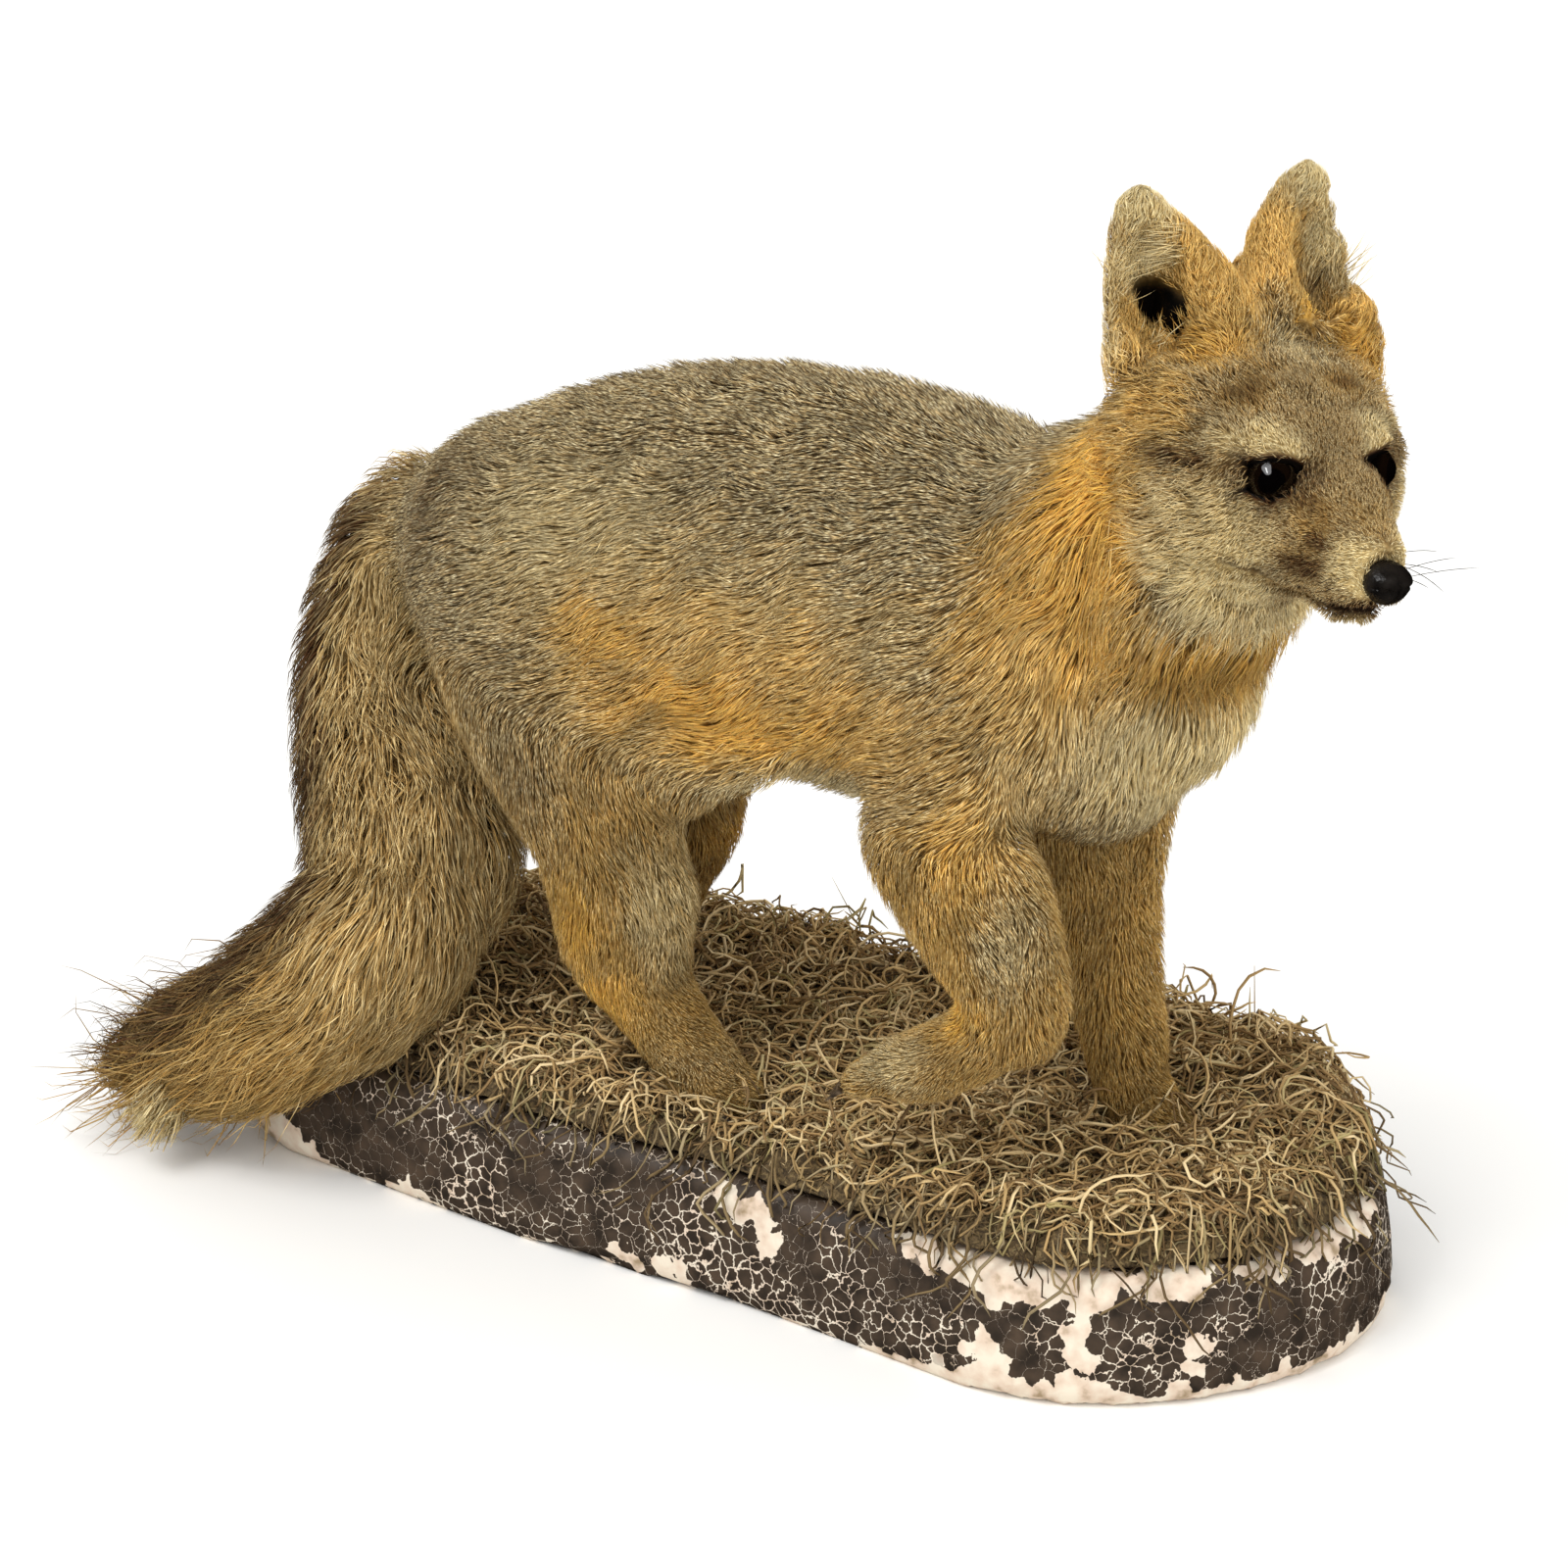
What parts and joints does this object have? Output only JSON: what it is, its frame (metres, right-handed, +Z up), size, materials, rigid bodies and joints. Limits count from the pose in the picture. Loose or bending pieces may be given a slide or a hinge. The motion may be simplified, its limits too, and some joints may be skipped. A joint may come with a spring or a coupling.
{
  "type": "taxidermy gray fox",
  "caption": "Mounted gray fox walking with one forepaw raised and its head turned, fixed on a rounded slab of crackled dark paint with a bed of dried curly moss.",
  "frame": {"origin": "centre of the base slab's flat underside", "axes": "+X the way the fox walks, along the slab's length; +Y to the fox's left; +Z up"},
  "size_m": [0.6765, 0.3224, 0.5315],
  "materials": {
    "grizzled_coat": "thick short fur of banded black, white and buff hairs",
    "rufous_coat": "orange buff fur with paler tips",
    "face_coat": "short flat fur, grizzled above and cream below",
    "tail_coat": "long coarse fur, black along the top",
    "eye_glass": "polished dark glass",
    "nose_skin": "dark pebbled skin with a slight shine",
    "claw_horn": "smooth dark horn",
    "crackled_paint": "dark paint crackled over a cream ground, chipped at the edges",
    "dried_moss": "dry curly strands"
  },
  "bodies": {
    "root": {"trunk": "grizzled_coat", "neck": "rufous_coat", "head": "face_coat", "ear_right": "rufous_coat", "ear_left": "rufous_coat", "foreleg_right": "rufous_coat", "foreleg_left": "rufous_coat", "forepaw_right": "rufous_coat", "forepaw_left": "rufous_coat", "thigh_right": "grizzled_coat", "thigh_left": "grizzled_coat", "shank_right": "rufous_coat", "shank_left": "rufous_coat", "hindpaw_right": "rufous_coat", "hindpaw_left": "rufous_coat", "tail_root": "tail_coat", "tail_middle": "tail_coat", "tail_brush": "tail_coat", "eye_right": "eye_glass", "eye_left": "eye_glass", "nose_pad": "nose_skin", "claw_fore_right_1": "claw_horn", "claw_fore_right_2": "claw_horn", "claw_fore_right_3": "claw_horn", "claw_fore_right_4": "claw_horn", "claw_fore_left_1": "claw_horn", "claw_fore_left_2": "claw_horn", "claw_fore_left_3": "claw_horn", "claw_fore_left_4": "claw_horn", "claw_hind_right_1": "claw_horn", "claw_hind_right_2": "claw_horn", "claw_hind_right_3": "claw_horn", "claw_hind_right_4": "claw_horn", "claw_hind_left_1": "claw_horn", "claw_hind_left_2": "claw_horn", "claw_hind_left_3": "claw_horn", "claw_hind_left_4": "claw_horn", "base_slab": "crackled_paint", "moss_bed": "dried_moss"}
  },
  "joints": []
}
